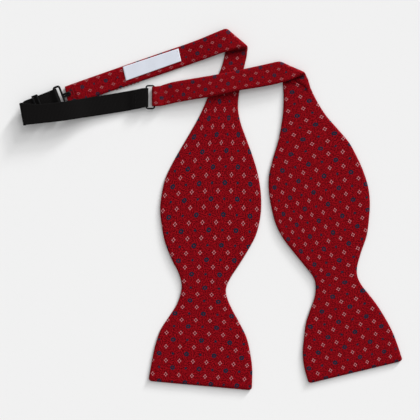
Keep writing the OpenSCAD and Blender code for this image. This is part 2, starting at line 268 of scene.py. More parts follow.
def right_half_rows():
    fold = turn(RIGHT_FOLD, 1, LOW_Z, HIGH_Z, 1, HALF_H, RIGHT_NECK[-1], RIGHT_BAND[0])
    flat = blade(RIGHT_ORIGIN, RIGHT_LEAN, RIGHT_ROWS)
    neck = smooth([flat[-1], *RIGHT_NECK, fold[0]], 5)
    band = smooth([fold[-1], *RIGHT_BAND], 8)
    loop = round_bar(BAND_BAR_X, BAND_Y, BAND_HALF_W, BAND_LOOP_R, -1, BAND_K, 0, 180)
    tail = [(-36, 83.7, -36, 71.4, 0.75, BAND_K), (-33.5, 84, -33.5, 72.2, 1.1, BAND_K),
            (-31.5, 84.2, -31.5, 72.9, 1.1, BAND_K)]
    return (flat + neck[1:-1] + fold + band[1:] + loop + smooth([loop[-1], *tail], 3)[1:],
            len(flat) + len(neck) - 2)


def webbing_rows():
    tail = [(-55, 82, -55, 69.5, 1.3, 1), (-51, 82.7, -51, 70.2, 1.75, 1),
            (-48, 83.5, -48, 70.6, 0.95, 1)]
    loop = round_bar(WEB_BAR_X, WEB_Y, WEB_W / 2, WEB_LOOP_R, 1, 1, 180, 0)
    fold = turn(WEB_FOLD, -1, FRONT_Z, REAR_Z, 1, WEB_T / 2)
    front = smooth([loop[-1], (-48.2, 83.6, -48.2, 69.8, 2.95, 1), *FRONT_STRAND, fold[0]], 8)
    rear = smooth([fold[-1], *[rear_row(u, REAR_Z) for u in (-22, -18, -14, -10, -6, -3.6)],
                   rear_row(-1.3, REAR_Z + 0.7)], 4)
    hook_turn = rear_loop(0, HOOK_Z, HOOK_LOOP_R, 1, 0, 180)
    return (smooth([*tail, loop[0]], 3)[:-1] + loop + front[1:-1] + fold + rear[1:] + hook_turn
            + [rear_row(-1, HOOK_Z - HOOK_LOOP_R), rear_row(-2, HOOK_Z - HOOK_LOOP_R)])


def webbing_return_rows():
    start = [rear_row(-2.3, HOOK_Z - HOOK_LOOP_R), rear_row(-6, 1.35), rear_row(-9.5, 1.05),
             rear_row(-12, 0.6)]
    loop = rear_loop(SLIDER_U, BAR_Z, BAR_LOOP_R, -1, 180, 0)
    end = [rear_row(-12.6, 2.25), rear_row(-10.4, 1.85), rear_row(-8.8, 1.85)]
    return smooth([*start, loop[0]], 4)[:-1] + loop + smooth([loop[-1], *end], 4)[1:]


# ---- meshes ----
def make_object(name, points, faces, material, smooth_faces=True):
    """A mesh object from points in millimetres."""
    mesh = bpy.data.meshes.new(name)
    mesh.from_pydata((np.asarray(points, float) * MM).tolist(), [], faces)
    mesh.validate()
    mesh.update()
    if smooth_faces:
        mesh.shade_smooth()
    else:
        mesh.shade_flat()
    mesh.materials.append(material)
    made = bpy.data.objects.new(name, mesh)
    bpy.context.scene.collection.objects.link(made)
    return made


def merge(parts):
    """One list of points and faces from several."""
    points, faces = [], []
    for part_points, part_faces in parts:
        faces += [[i + len(points) for i in face] for face in part_faces]
        points += [tuple(p) for p in part_points]
    return points, faces


class Strip:
    """Rows as arrays: edge points, widths, middles, directions and lengths along."""

    def __init__(self, rows, fold_at=None):
        rows = np.array(rows, float)
        self.first = rows[:, [0, 1, 4]]
        self.second = rows[:, [2, 3, 4]]
        self.k = rows[:, 5]
        gap = self.second - self.first
        self.width = np.linalg.norm(gap, axis=1)
        self.across = gap / self.width[:, None]
        self.middle = (self.first + self.second) / 2
        tangent = np.gradient(self.middle, axis=0)
        self.tangent = tangent / np.linalg.norm(tangent, axis=1)[:, None]
        normal = np.cross(self.across, self.tangent)
        self.normal = normal / np.linalg.norm(normal, axis=1)[:, None]
        steps = np.linalg.norm(np.diff(self.middle, axis=0), axis=1)
        self.along = np.concatenate([[0], np.cumsum(steps)])
        self.skew = np.sum(self.across * self.tangent, axis=1)
        if fold_at is not None:
            # The lie of the edges changes evenly over the fold, however its rows are spaced
            count = TURN_ROWS + TURN_OVERLAP
            fold = slice(fold_at - 1, fold_at - 1 + count)
            self.skew[fold] = np.linspace(self.skew[fold.start - 1], self.skew[fold.stop], count)

    def place(self, share, inset, height):
        """A point on each row, at share of the width plus inset, at height off the mid line."""
        reach = (share * self.width + inset)[:, None]
        return self.first + self.across * reach + self.normal * (height * self.k)[:, None]

    def flat_place(self, share, inset):
        """Distances along and across the strip as if it were unfolded."""
        off = share * self.width + inset - self.width / 2
        return self.along + off * self.skew, off * np.sqrt(1 - self.skew ** 2)


def loft(strip, section, caps):
    """Points and faces of a closed section carried along a strip."""
    columns = [strip.place(*column) for column in section]
    rows, count = len(strip.k), len(section)
    points = np.stack(columns, 1).reshape(-1, 3)
    faces = [[i * count + j, i * count + (j + 1) % count,
              (i + 1) * count + (j + 1) % count, (i + 1) * count + j]
             for i in range(rows - 1) for j in range(count)]
    last = (rows - 1) * count
    faces += [[j for j in reversed(cap)] for cap in caps]
    faces += [[last + j for j in cap] for cap in caps]
    return points, faces


def shell_section(columns, flip):
    """Section of one silk: its outer skin from edge to edge, then its inner skin back."""
    outer, inner = [], []
    for a in np.radians(ROLL_DEGREES):
        outer.append((0, EDGE_ROLL * (1 - math.cos(a)), SKIN_GAP + (HALF_H - SKIN_GAP) * math.sin(a)))
        inner.append((0, SILK_T + (EDGE_ROLL - SILK_T) * (1 - math.cos(a)),
                      SKIN_GAP + (HALF_H - SILK_T - SKIN_GAP) * math.sin(a)))
    for share in np.linspace(0, 1, columns):
        inset = EDGE_ROLL * (1 - 2 * share)
        outer.append((share, inset, HALF_H))
        inner.append((share, inset, HALF_H - SILK_T))
    count = len(ROLL_DEGREES)
    outer += [(1, -inset, height) for _, inset, height in reversed(outer[:count])]
    inner += [(1, -inset, height) for _, inset, height in reversed(inner[:count])]
    section = outer + inner[::-1]
    total = len(section)
    caps = [[j, j + 1, total - 2 - j, total - 1 - j] for j in range(len(outer) - 1)]
    section = [(share, inset, flip * height) for share, inset, height in section]
    return section, caps, len(outer)


def oriented(faces, flip):
    return faces if flip < 0 else [face[::-1] for face in faces]


def set_vectors(made, name, values):
    """A named vector for each vertex."""
    layer = made.data.attributes.new(name, "FLOAT_VECTOR", "POINT")
    layer.data.foreach_set("vector", np.asarray(values, np.float32).reshape(-1))


def make_silk(name, strip, side, pattern, material, body, creases_and_shade=()):
    """The silk on one side of a half: side 1 is its face, side -1 its back."""
    section, caps, outer = shell_section(44, side)
    points, faces = loft(strip, section, caps)
    count = len(section)
    grid = points.reshape(-1, count, 3)
    normals = np.repeat(strip.normal[:, None], count, 1) * side
    lift = np.zeros(grid.shape[:2])
    flat_part = slice(len(ROLL_DEGREES), outer - len(ROLL_DEGREES))
    lift[:, flat_part] = ripple(grid[:, flat_part])
    # Painted shade: each crease path darkens the face silk near it, sent to the material as the pattern
    # attribute's third value
    shade = np.zeros(grid.shape[:2])
    for path, width, depth, dark in creases_and_shade:
        near = crease_profile(grid, path, width) * (np.arange(count) < outer)
        lift -= near * depth
        shade = np.maximum(shade, near * dark)
    grid += normals * (lift * strip.k[:, None])[..., None]
    made = make_object(name, grid.reshape(-1, 3), oriented(faces, side), material)
    flat = [strip.flat_place(share, inset) for share, inset, _ in section]
    along, across = np.stack([f[0] for f in flat], 1), np.stack([f[1] for f in flat], 1)
    i, j = pattern(grid, along, across)
    set_vectors(made, "pattern", np.stack([i, j, shade], 2))
    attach(made, body)
    return made


def ripple(grid):
    """Small unevenness of the pressed silk over its interlining."""
    x, y = grid[..., 0], grid[..., 1]
    return (0.045 * np.sin(x * 0.19 + 0.7 * np.sin(y * 0.083)) * np.sin(y * 0.147 + 1.3)
            + 0.03 * np.sin(x * 0.41 + y * 0.33 + 2.1) * np.sin(y * 0.29 - x * 0.21))


def crease_profile(grid, path, width):
    """1 on a path in the plan, falling to 0 at width beside it and towards its two ends."""
    path = np.array(path, float)
    lengths = np.linalg.norm(np.diff(path, axis=0), axis=1)
    done = np.concatenate([[0], np.cumsum(lengths)])
    away = np.full(grid.shape[:2], np.inf)
    share = np.zeros(grid.shape[:2])
    for i, length in enumerate(lengths):
        run = (path[i + 1] - path[i]) / length
        off = grid[..., :2] - path[i]
        t = np.clip(off @ run, 0, length)
        here = np.linalg.norm(off - t[..., None] * run, axis=-1)
        share = np.where(here < away, (done[i] + t) / done[-1], share)
        away = np.minimum(away, here)
    taper = np.clip(np.minimum(share, 1 - share) / 0.12 + 0.15, 0, 1)
    return np.exp(-(away / width) ** 2) * taper


# ---- where the woven repeat lies: i across and j down, a diamond at each whole number ----
def stations(value, pairs):
    """Straight lines between (place, value) pairs, carried on past both ends."""
    places, values = zip(*pairs)
    result = np.interp(value, places, values)
    low = (values[1] - values[0]) / (places[1] - places[0])
    high = (values[-1] - values[-2]) / (places[-1] - places[-2])
    result = np.where(value < places[0], values[0] + (value - places[0]) * low, result)
    return np.where(value > places[-1], values[-1] + (value - places[-1]) * high, result)


def blade_place(grid, origin, lean):
    """Distances down and across a blade of each point."""
    off = grid[..., :2] - np.array(origin)
    return off @ direction(lean - 90), off @ direction(lean)


def left_face_pattern(grid, along, across):
    s, c = blade_place(grid, LEFT_ORIGIN, LEFT_LEAN)
    on_blade = np.clip(s, 0, 217)
    tilt = stations(on_blade, [(0, -0.07), (50, -0.14), (105, -0.1), (127, -0.11), (150, -0.05),
                               (217, -0.03)])
    arch = stations(on_blade, [(0, 0.005), (60, 0.003), (105, 0.002), (160, 0.002), (217, 0)])
    j = stations(s - tilt * (c + 3) - arch * (c + 3) ** 2,
                 [(-10, -10), (-2.3, -9), (5, -8), (15, -7), (50, -4), (95, 0), (120, 2.3), (146.5, 4.9),
                  (184, 9), (214, 12)])
    first = stations(s, [(-10, -9.75), (-3, -11.75), (5, -12.35), (15, -9.15), (26, -6.75),
                         (60, -9.15), (94, -8.75), (137, -8.25), (165, -7.25), (214, -6.25)])
    pitch = stations(s, [(-10, 7.5), (-3, 8.2), (5, 8), (15, 7.5), (26, 6.5), (60, 8.5), (83, 9.1),
                         (105, 9.5), (150, 9.9), (190, 9.9), (214, 9.2)])
    return (c - first) / pitch + 1, j


def right_face_pattern(grid, along, across):
    s, c = blade_place(grid, RIGHT_ORIGIN, RIGHT_LEAN)
    on_blade = np.clip(s, 0, 206)
    tilt = stations(on_blade, [(0, 0.025), (40, 0.05), (75, 0.05), (120, 0.027), (165, 0.05), (206, 0.005)])
    arch = stations(on_blade, [(0, -0.006), (60, 0.002), (90, 0.001), (118, -0.004), (150, -0.001),
                               (206, 0)])
    j = stations(s - tilt * c - arch * c ** 2,
                 [(12, -8.05), (54.5, -3.05), (90, 0.5), (125, 3.95), (134.5, 4.95), (149.6, 6.98),
                  (177, 10), (203.5, 12.95)])
    first = stations(s, [(0, 1.85), (46, 2.25), (60, 1.25), (85, -0.75), (105, -2.05), (145, -3.75),
                         (165, -3.75), (204, -4.45)])
    pitch = stations(s, [(0, 9), (20, 10.8), (46, 11.1), (60, 9.6), (95, 8.3), (110, 8.4), (125, 9),
                         (145, 11.1), (165, 10.2), (204, 8.6)])
    bow = stations(on_blade, [(0, 0), (60, 0.001), (90, 0.0025), (115, 0.002), (140, 0.008), (155, 0.004),
                              (170, 0), (206, -0.0013)])
    return (c - first - bow * c ** 2) / pitch, j


def band_pattern(rows, spread, middles):
    """Repeat of a neckband: its rows along, and its columns 0 and 1 about a middle that drifts."""
    def pattern(grid, along, across):
        return (stations(along, middles) - across) / spread + 0.5, stations(along, rows)
    return pattern


# ---- materials ----
class Graph:
    """Short names for the shader nodes that the materials use."""

    def __init__(self, name):
        self.material = bpy.data.materials.new(name)
        self.material.use_nodes = True
        self.tree = self.material.node_tree
        self.shader = self.tree.nodes["Principled BSDF"]

    def node(self, kind, **settings):
        made = self.tree.nodes.new("ShaderNode" + kind)
        for key, value in settings.items():
            setattr(made, key, value)
        return made

    def feed(self, socket, value):
        if isinstance(value, bpy.types.NodeSocket):
            self.tree.links.new(value, socket)
        else:
            socket.default_value = value

    def math(self, operation, *values, clamp=False):
        made = self.node("Math", operation=operation, use_clamp=clamp)
        for socket, value in zip(made.inputs, values):
            self.feed(socket, value)
        return made.outputs[0]

    def attribute(self, name):
        return self.node("Attribute", attribute_name=name).outputs["Vector"]

    def split(self, vector):
        made = self.node("SeparateXYZ")
        self.feed(made.inputs[0], vector)
        return made.outputs

    def join(self, x, y, z=0.0):
        made = self.node("CombineXYZ")
        for socket, value in zip(made.inputs, (x, y, z)):
            self.feed(socket, value)
        return made.outputs[0]

    def mix(self, factor, first, second):
        """Colour mix."""
        made = self.node("Mix", data_type="RGBA")
        self.feed(made.inputs[0], factor)
        for socket, value in ((made.inputs[6], first), (made.inputs[7], second)):
            self.feed(socket, (*value, 1) if isinstance(value, tuple) else value)
        return made.outputs[2]

    def noise(self, vector, scale, detail=2.0):
        made = self.node("TexNoise")
        self.feed(made.inputs["Vector"], vector)
        made.inputs["Scale"].default_value = scale
        made.inputs["Detail"].default_value = detail
        return made.outputs[0]

    def ramp(self, value, low, high):
        """0 at low and 1 at high, smoothly."""
        made = self.node("MapRange", interpolation_type="SMOOTHSTEP")
        for index, setting in ((0, value), (1, low), (2, high)):
            self.feed(made.inputs[index], setting)
        return made.outputs[0]

    def bump(self, height, distance, strength=1.0):
        made = self.node("Bump")
        made.inputs["Strength"].default_value = strength
        made.inputs["Distance"].default_value = distance
        self.feed(made.inputs["Height"], height)
        self.feed(self.shader.inputs["Normal"], made.outputs[0])

    def finish(self, color, roughness, **constants):
        self.feed(self.shader.inputs["Base Color"], (*color, 1) if isinstance(color, tuple) else color)
        self.feed(self.shader.inputs["Roughness"], roughness)
        for key, value in constants.items():
            self.shader.inputs[key.replace("_", " ")].default_value = value
        return self.material


def srgb(red, green, blue):
    """Linear colour of a screen colour from 0 to 255."""
    def one(value):
        value /= 255
        return value / 12.92 if value <= 0.04045 else ((value + 0.055) / 1.055) ** 2.4
    return (one(red), one(green), one(blue))


# The woven repeat, its diamond's reach, how soft its dots' edges are, and the twill's pitches
REPEAT_X = 9.2
REPEAT_Y = 10.0
DIAMOND_X = 0.95
DIAMOND_Y = 1.2
DOT_BLUR = 0.12
RIB_PITCH = 0.62
FLOAT_PITCH = 0.5


def silk_material(name, pale_share):
    """Fine twill with a woven repeat: four pale dots in a diamond, navy rings and dots, and painted shade
    along creases and under folded band edges.
    """
    g = Graph(name)
    i, j, shade = g.split(g.attribute("pattern"))
    x = g.math("MULTIPLY", i, REPEAT_X)
    y = g.math("MULTIPLY", j, REPEAT_Y)

    def centred(value, shift, size):
        part = g.math("FRACT", g.math("ADD", value, 100 + shift))
        return g.math("MULTIPLY", g.math("ABSOLUTE", g.math("SUBTRACT", part, 0.5)), size)

    def distance(dx, dy):
        return g.math("SQRT", g.math("ADD", g.math("POWER", dx, 2.0), g.math("POWER", dy, 2.0)))

    def disc(dist, radius):
        return g.math("SUBTRACT", 1.0, g.ramp(dist, radius - DOT_BLUR, radius + DOT_BLUR))

    dx, dy = centred(i, 0.5, REPEAT_X), centred(j, 0.5, REPEAT_Y)
    side_dots = distance(g.math("SUBTRACT", dx, DIAMOND_X), dy)
    end_dots = distance(dx, g.math("SUBTRACT", dy, DIAMOND_Y))
    corners = disc(g.math("MINIMUM", side_dots, end_dots), 0.3)
    across_line = g.math("ADD", g.math("DIVIDE", dx, DIAMOND_X), g.math("DIVIDE", dy, DIAMOND_Y))
    outline = disc(g.math("ABSOLUTE", g.math("SUBTRACT", across_line, 1.0)), 0.2)
    pale = g.math("MULTIPLY", g.math("MAXIMUM", corners, g.math("MULTIPLY", outline, 0.62)), pale_share)
    heart = disc(distance(dx, dy), 0.45)

    cx, cy = centred(i, 0.0, REPEAT_X), centred(j, 0.0, REPEAT_Y)
    centre = distance(cx, cy)
    odd = g.math("MODULO", g.math("ADD", g.math("FLOOR", g.math("ADD", i, 100.0)),
                                  g.math("FLOOR", g.math("ADD", j, 100.0))), 2.0)
    ring = g.math("MULTIPLY", disc(centre, 1.62), g.math("SUBTRACT", 1.0, disc(centre, 0.5)))
    dot = disc(centre, 0.84)
    navy = g.math("ADD", g.math("MULTIPLY", dot, odd),
                  g.math("MULTIPLY", ring, g.math("SUBTRACT", 1.0, odd)), clamp=True)

    # Twill: fine steep ribs, each broken into floats
    steep = g.math("ADD", x, g.math("MULTIPLY", y, 0.62))
    rib = g.math("SINE", g.math("MULTIPLY", steep, 2 * math.pi / RIB_PITCH))
    floats = g.math("SINE", g.math("MULTIPLY", g.math("SUBTRACT", y, g.math("MULTIPLY", x, 0.5)),
                                   2 * math.pi / FLOAT_PITCH))
    weave = g.math("MULTIPLY", g.math("ADD", rib, g.math("MULTIPLY", floats, 0.5)), 0.5)
    place = g.join(x, y)
    cloudy = g.noise(place, 0.22, 3.0)
    slub = g.noise(g.join(g.math("MULTIPLY", x, 0.35), g.math("MULTIPLY", y, 2.4)), 1.0, 2.0)

    grain = g.noise(place, 1.35, 1.0)
    base = g.mix(g.ramp(weave, -0.8, 0.9), srgb(132, 13, 21), srgb(172, 18, 29))
    base = g.mix(g.math("MULTIPLY", g.ramp(cloudy, 0.35, 0.7), 0.35), base, srgb(144, 12, 18))
    base = g.mix(g.math("MULTIPLY", g.ramp(slub, 0.45, 0.75), 0.3), base, srgb(102, 9, 18))
    base = g.mix(g.math("MULTIPLY", g.ramp(grain, 0.4, 0.6), 0.9), base, srgb(66, 4, 10))
    base = g.mix(g.math("MULTIPLY", heart, 0.7), base, srgb(52, 5, 14))
    base = g.mix(g.math("MULTIPLY", pale, g.ramp(rib, -2.2, -0.2)), base, srgb(210, 148, 153))
    base = g.mix(navy, base, srgb(16, 38, 54))
    # Painted shade: the silk darkened towards deep red where the mesh's shade value marks creases and
    # shadows under bands
    base = g.mix(g.math("MULTIPLY", shade, 1.0, clamp=True), base, srgb(44, 5, 10))

    figure = g.math("MULTIPLY", g.math("ADD", pale, navy, clamp=True), 0.8)
    g.bump(g.math("ADD", weave, figure), 0.00006, 0.6)
    roughness = g.math("ADD", 0.56, g.math("MULTIPLY", g.ramp(weave, -0.8, 0.8), 0.12))
    return g.finish(base, roughness, Sheen_Weight=0.1, Sheen_Roughness=0.4,
                    Sheen_Tint=(0.75, 0.08, 0.1, 1), Specular_IOR_Level=0.06,
                    Specular_Tint=(0.5, 0.03, 0.05, 1))


def lining_material():
    g = Graph("brushed_interlining")
    place = g.node("TexCoord").outputs["Object"]
    fibre = g.noise(place, 900, 4.0)
    patch = g.noise(place, 60, 2.0)
    base = g.mix(fibre, srgb(206, 199, 182), srgb(238, 233, 220))
    base = g.mix(g.math("MULTIPLY", patch, 0.4), base, srgb(214, 206, 188))
    g.bump(fibre, 0.0002, 0.7)
    return g.finish(base, 0.92, Sheen_Weight=0.2, Sheen_Roughness=0.6)


def thread_material(name, dark, light):
    g = Graph(name)
    place = g.node("TexCoord").outputs["Object"]
    fibre = g.noise(place, 2600, 3.0)
    g.bump(fibre, 0.00005, 0.8)
    return g.finish(g.mix(fibre, dark, light), 0.75, Specular_IOR_Level=0.15)


def webbing_material():
    """Ribs across the tape and a tighter selvedge down both edges."""
    g = Graph("ribbed_webbing")
    along, across, _ = g.split(g.attribute("tape"))
    rib = g.math("SINE", g.math("MULTIPLY", along, 2 * math.pi / 0.95))
    ends = g.math("SINE", g.math("MULTIPLY", across, 2 * math.pi / 0.42))
    edge = g.ramp(g.math("ABSOLUTE", across), WEB_W / 2 - 1.3, WEB_W / 2 - 0.9)
    plain = g.math("ADD", rib, g.math("MULTIPLY", ends, 0.3))
    height = g.math("ADD", g.math("MULTIPLY", plain, g.math("SUBTRACT", 1.0, edge)),
                    g.math("MULTIPLY", ends, g.math("MULTIPLY", edge, 0.8)))
    lint = g.noise(g.join(along, across), 1.6, 4.0)
    base = g.mix(g.ramp(height, -1.1, 1.2), srgb(8, 7, 7), srgb(14, 12, 12))
    base = g.mix(g.math("MULTIPLY", g.ramp(lint, 0.5, 0.8), 0.3), base, srgb(21, 19, 19))
    g.bump(height, 0.0001, 0.35)
    return g.finish(base, 0.82, Sheen_Weight=0.03, Sheen_Roughness=0.4, Specular_IOR_Level=0.08)


def label_material():
    """Smooth satin with fine warp ribs, left blank."""
    g = Graph("woven_label")
    along, across, _ = g.split(g.attribute("tape"))
    warp = g.math("SINE", g.math("MULTIPLY", across, 2 * math.pi / 0.36))
    weft = g.math("SINE", g.math("MULTIPLY", along, 2 * math.pi / 0.5))
    weave = g.math("MULTIPLY", g.math("ADD", warp, weft), 0.5)
    cloud = g.noise(g.join(along, across), 0.5, 3.0)
    base = g.mix(g.ramp(weave, -1.0, 1.0), srgb(203, 208, 219), srgb(225, 229, 238))
    base = g.mix(g.math("MULTIPLY", cloud, 0.35), base, srgb(210, 216, 230))
    g.bump(weave, 0.00005, 0.6)
    return g.finish(base, 0.5, Sheen_Weight=0.1, Sheen_Roughness=0.4)


def enamel_material():
    """Black enamel on wire, worn a little."""
    g = Graph("black_enamel")
    place = g.node("TexCoord").outputs["Object"]
    wear = g.noise(place, 420, 4.0)
    fine = g.noise(place, 2400, 2.0)
    base = g.mix(g.ramp(wear, 0.55, 0.8), srgb(7, 7, 8), srgb(20, 19, 20))
    g.bump(fine, 0.00003, 0.35)
    roughness = g.math("ADD", 0.36, g.math("MULTIPLY", wear, 0.2))
    return g.finish(base, roughness, Specular_IOR_Level=0.12)


def floor_material():
    g = Graph("pale_floor")
    place = g.node("TexCoord").outputs["Object"]
    grain = g.noise(place, 300, 3.0)
    return g.finish(g.mix(grain, (0.868, 0.868, 0.868), (0.874, 0.874, 0.874)), 0.95, Specular_IOR_Level=0.0)


# ---- camera, light and floor ----
def set_stage():
    view = bpy.data.cameras.new("view")
    view.lens = 100
    view.sensor_width = 36
    field, centre_x, centre_y = 0.294, -0.00085, -0.0016
    camera = bpy.data.objects.new("view", view)
    camera.location = (centre_x, centre_y, field * view.lens / view.sensor_width + 0.002)
    bpy.context.scene.collection.objects.link(camera)
    bpy.context.scene.camera = camera

    world = bpy.data.worlds.new("studio")
    world.use_nodes = True
    background = world.node_tree.nodes["Background"]
    background.inputs["Color"].default_value = (1, 1, 1, 1)
    background.inputs["Strength"].default_value = 0.52
    bpy.context.scene.world = world

    # Three soft sources, one above another, all from the upper right
    azimuth = math.radians(57)
    for name, share, height, spread in (("high_softbox", 0.16, 38, 30), ("middle_softbox", 0.18, 19, 13),
                                        ("low_softbox", 0.15, 12, 7)):
        elevation = math.radians(height)
        light = bpy.data.lights.new(name, "SUN")
        light.energy = share * math.pi / math.sin(elevation)
        light.angle = math.radians(spread)
        sun = bpy.data.objects.new(name, light)
        toward = Vector((math.cos(elevation) * math.cos(azimuth),
                         math.cos(elevation) * math.sin(azimuth), math.sin(elevation)))
        sun.rotation_euler = toward.to_track_quat("Z", "Y").to_euler()
        bpy.context.scene.collection.objects.link(sun)

    reach, level = 3000, -0.02
    corners = [(x * reach, y * reach, level) for x, y in ((-1, -1), (1, -1), (1, 1), (-1, 1))]
    floor = make_object("floor", corners, [[0, 1, 2, 3]], floor_material(), False)
    bpy.context.scene.view_settings.view_transform = "Standard"


# ---- small parts ----
def tube(path, radius, sides=10, closed=False):
    """Points and faces of a tube along a path, without twist."""
    path = [Vector(p) for p in path]
    count = len(path)
    points, faces = [], []
    tangents = []
    for i in range(count):
        before = path[(i - 1) % count] if closed else path[max(0, i - 1)]
        after = path[(i + 1) % count] if closed else path[min(count - 1, i + 1)]
        tangents.append((after - before).normalized())
    up = Vector((0, 0, 1)) if abs(tangents[0].z) < 0.9 else Vector((1, 0, 0))
    for i, (centre, tangent) in enumerate(zip(path, tangents)):
        side = tangent.cross(up).normalized()
        up = side.cross(tangent).normalized()
        for j in range(sides):
            a = 2 * math.pi * j / sides
            points.append(centre + radius * (math.cos(a) * side + math.sin(a) * up))
    rings = count if closed else count - 1
    for i in range(rings):
        for j in range(sides):
            a, b = i * sides + j, i * sides + (j + 1) % sides
            c, d = (i + 1) % count * sides + (j + 1) % sides, (i + 1) % count * sides + j
            faces.append([a, b, c, d])
    if not closed:
        faces.append([j for j in reversed(range(sides))])
        faces.append([(count - 1) * sides + j for j in range(sides)])
    return points, faces


def rounded_loop(a, b, corner, plan):
    """Centre line of a wire loop with sides a along u and b along v, rounded corners."""
    path = []
    for turn_at, su, sv in ((0, 1, 1), (90, -1, 1), (180, -1, -1), (270, 1, -1)):
        for degrees in np.linspace(turn_at, turn_at + 90, 9):
            arm = direction(degrees) * corner
            path.append(plan(su * (a / 2 - corner) + arm[0], sv * (b / 2 - corner) + arm[1]))
    return path


def stitch(start, stop, diameter):
    """A two-ply thread lying between two points, its ends dipping into the cloth."""
    start, stop = Vector(start), Vector(stop)
    run = stop - start
    length = run.length
    run.normalize()
    side = run.cross(Vector((0, 0, 1))).normalized()
    parts = []
    for ply in (0, math.pi):
        path = []
        for step in range(15):
            t = step / 14
            a = ply + t * length / 1.1 * 2 * math.pi
            dip = 0.5 * diameter * (abs(2 * t - 1)) ** 4
            lift = Vector((0, 0, diameter * (0.5 + 0.23 * math.sin(a)) - dip))
            path.append(start + run * (t * length) + side * (0.23 * diameter * math.cos(a)) + lift)
        parts.append(tube(path, diameter * 0.27, 7))
    return merge(parts)


def stitches(name, centre, angle, count, pitch, length, z, material, body, diameter=THREAD_D):
    """Stitches end to end in a row; angle is the row's, and z is the surface they lie on."""
    along = direction(angle)
    parts = []
    for i in range(count):
        middle = np.array(centre) + along * (i - (count - 1) / 2) * pitch
        slant = direction(angle + (4 if i % 2 else -4)) * length / 2
        start, stop = middle - slant, middle + slant
        parts.append(stitch((*start, z), (*stop, z), diameter))
    made = make_object(name + "_thread", *merge(parts), material)
    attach(made, body)
    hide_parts(name)
    return made


def box_part(centre, size, angle, bevel):
    """Points and faces of a box with its edges rounded, turned by angle in the plan."""
    half = [s / 2 for s in size]
    profile = []
    for sx, sy, start in ((1, 1, 0), (-1, 1, 90), (-1, -1, 180), (1, -1, 270)):
        for degrees in (0, 30, 60, 90):
            arm = direction(start + degrees) * bevel
            profile.append((sx * (half[0] - bevel) + arm[0], sy * (half[1] - bevel) + arm[1]))
    levels = []
    for degrees in (-90, -60, -30, 0, 0, 30, 60, 90):
        a = math.radians(degrees)
        levels.append(((1 - math.cos(a)) * bevel,
                       math.copysign(half[2] - bevel, len(levels) - 3.5) + bevel * math.sin(a)))
    points, faces = [], []
    along = direction(angle)
    count = len(profile)
    for shrink, z in levels:
        for px, py in profile:
            qx = px * (1 - shrink / half[0])
            qy = py * (1 - shrink / half[1])
            points.append((centre[0] + qx * along[0] - qy * along[1],
                           centre[1] + qx * along[1] + qy * along[0], centre[2] + z))
    for i in range(len(levels) - 1):
        for j in range(count):
            k = (j + 1) % count
            faces.append([i * count + j, i * count + k, (i + 1) * count + k, (i + 1) * count + j])
    faces.append([j for j in reversed(range(count))])
    faces.append([(len(levels) - 1) * count + j for j in range(count)])
    return points, faces


def tape_loop(half, columns, edge):
    """Section of a tape: round first edge, top, round second edge, bottom."""
    arc = np.radians([-60, -30, 0, 30, 60])
    first = [(0, edge * (1 - math.cos(a)), half * math.sin(a)) for a in arc]
    second = [(1, -edge * (1 - math.cos(a)), half * math.sin(a)) for a in arc[::-1]]
    shares = np.linspace(0, 1, columns)
    top = [(share, edge * (1 - 2 * share), half) for share in shares]
    bottom = [(share, edge * (1 - 2 * share), -half) for share in shares[::-1]]
    section = first + top + second + bottom
    total = len(section)
    # Quads between the top and bottom columns close the two ends
    start = len(first)
    caps = [[start + j, start + j + 1, total - 2 - j, total - 1 - j] for j in range(columns - 1)]
    caps.append([*range(start + 1), total - 1])
    caps.append([start + columns - 1, *range(start + columns, start + columns + len(second) + 1)])
    return section, caps


def make_tape(name, rows, half, columns, material):
    strip = Strip(rows)
    section, caps = tape_loop(half, columns, 0.3)
    points, faces = loft(strip, section, caps)
    made = make_object(name + "_cloth", points, [face[::-1] for face in faces], material)
    flat = [strip.flat_place(share, inset) for share, inset, _ in section]
    along, across = np.stack([f[0] for f in flat], 1), np.stack([f[1] for f in flat], 1)
    set_vectors(made, "tape", np.stack([along, across, np.zeros_like(along)], 2))
    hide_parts(name)
    return made


# ---- the pieces ----
silk = silk_material("silk_face", 0.9)
back_silk = silk_material("silk_back", 0.6)
lining = lining_material()
red_thread = thread_material("red_thread", srgb(88, 8, 15), srgb(122, 12, 22))
black_thread = thread_material("black_thread", srgb(8, 8, 8), srgb(16, 15, 15))
webbing_black = webbing_material()
label_white = label_material()
enamel = enamel_material()

set_stage()


def make_half(body, rows, fold_at, face_pattern, back_pattern, creases_and_shade):
    strip = Strip(rows, fold_at)
    for side, part, pattern in ((1, "face", face_pattern), (-1, "back", back_pattern)):
        name = f"{body.split('_')[0]}_{part}_silk"
        made = make_silk(name + "_cloth", strip, side, pattern, silk if side > 0 else back_silk, body,
                         creases_and_shade if side > 0 else ())
        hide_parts(name)


def make_lining(name, rows, body):
    made = make_tape(name, rows, LINING_T / 2, 24, lining)
    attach(made, body)


def inset_rows(rows, inset):
    """The rows with both edges moved inwards."""
    made = []
    for row in rows:
        first, second = row[:2], row[2:4]
        step = (second - first) / np.linalg.norm(second - first) * inset
        made.append(np.array([*(first + step), *(second - step), row[4], row[5]]))
    return made


left_rows, left_fold_at = left_half_rows()
right_rows, right_fold_at = right_half_rows()
